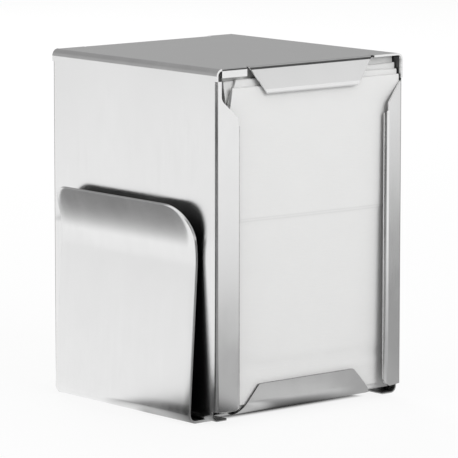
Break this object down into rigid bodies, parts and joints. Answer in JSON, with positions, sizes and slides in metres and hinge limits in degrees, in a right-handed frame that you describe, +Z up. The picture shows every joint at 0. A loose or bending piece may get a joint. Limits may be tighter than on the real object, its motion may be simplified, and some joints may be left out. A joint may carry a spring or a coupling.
{
  "type": "napkin holder",
  "caption": "Stainless steel table napkin dispenser with a window front and rear, sprung pushers inside and a card clip on its left side.",
  "frame": {"origin": "middle of the whole footprint, card clip included, on the plane the rubber feet stand on", "axes": "+Z up; -Y out of the front window and +Y out of the rear one; -X is the side with the card clip"},
  "size_m": [0.0986, 0.1012, 0.132],
  "materials": {
    "box_steel": "satin, finely brushed stainless sheet",
    "clip_steel": "satin, finely brushed stainless spring sheet",
    "inner_steel": "mill-finish stainless sheet",
    "turned_steel": "turned steel",
    "spring_steel": "drawn spring wire",
    "rubber": "matt black rubber",
    "napkin_paper": "soft white tissue paper"
  },
  "bodies": {
    "root": {"shell": "box_steel", "floor_plate": "box_steel", "rubber_feet": "rubber", "clip_foot": "clip_steel", "divider": "inner_steel", "divider_rivets": "turned_steel", "front_lower_divider_seat": "turned_steel", "front_upper_divider_seat": "turned_steel", "rear_lower_divider_seat": "turned_steel", "rear_upper_divider_seat": "turned_steel", "front_lower_spring": "spring_steel", "front_upper_spring": "spring_steel", "rear_lower_spring": "spring_steel", "rear_upper_spring": "spring_steel", "front_napkin_1": "napkin_paper", "front_napkin_2": "napkin_paper", "front_napkin_3": "napkin_paper", "front_napkin_4": "napkin_paper", "rear_napkin_1": "napkin_paper", "rear_napkin_2": "napkin_paper", "rear_napkin_3": "napkin_paper", "rear_napkin_4": "napkin_paper", "front_napkin_stack": "napkin_paper", "rear_napkin_stack": "napkin_paper"},
    "clip_leaf": {"clip_leaf": "clip_steel"},
    "front_pusher": {"front_pusher": "inner_steel", "front_pusher_rivets": "turned_steel", "front_lower_pusher_seat": "turned_steel", "front_upper_pusher_seat": "turned_steel"},
    "rear_pusher": {"rear_pusher": "inner_steel", "rear_pusher_rivets": "turned_steel", "rear_lower_pusher_seat": "turned_steel", "rear_upper_pusher_seat": "turned_steel"}
  },
  "joints": [
    {"name": "front_pusher_slide", "type": "slide", "parent": "root", "child": "front_pusher", "axis": [0, 1, 0], "range_m": [0, 0.0096], "stiffness_N_per_m": 200, "springref_m": -0.025, "deforming": ["front_lower_spring", "front_upper_spring"]},
    {"name": "rear_pusher_slide", "type": "slide", "parent": "root", "child": "rear_pusher", "axis": [0, -1, 0], "range_m": [0, 0.0096], "stiffness_N_per_m": 200, "springref_m": -0.025, "deforming": ["rear_lower_spring", "rear_upper_spring"]},
    {"name": "clip_flex", "type": "hinge", "parent": "root", "child": "clip_leaf", "pos_m": [-0.0485, 0, 0.00407], "axis": [0, -1, 0], "range_deg": [0, 8], "stiffness_Nm_per_rad": 1.5, "springref_deg": -2.86}
  ]
}
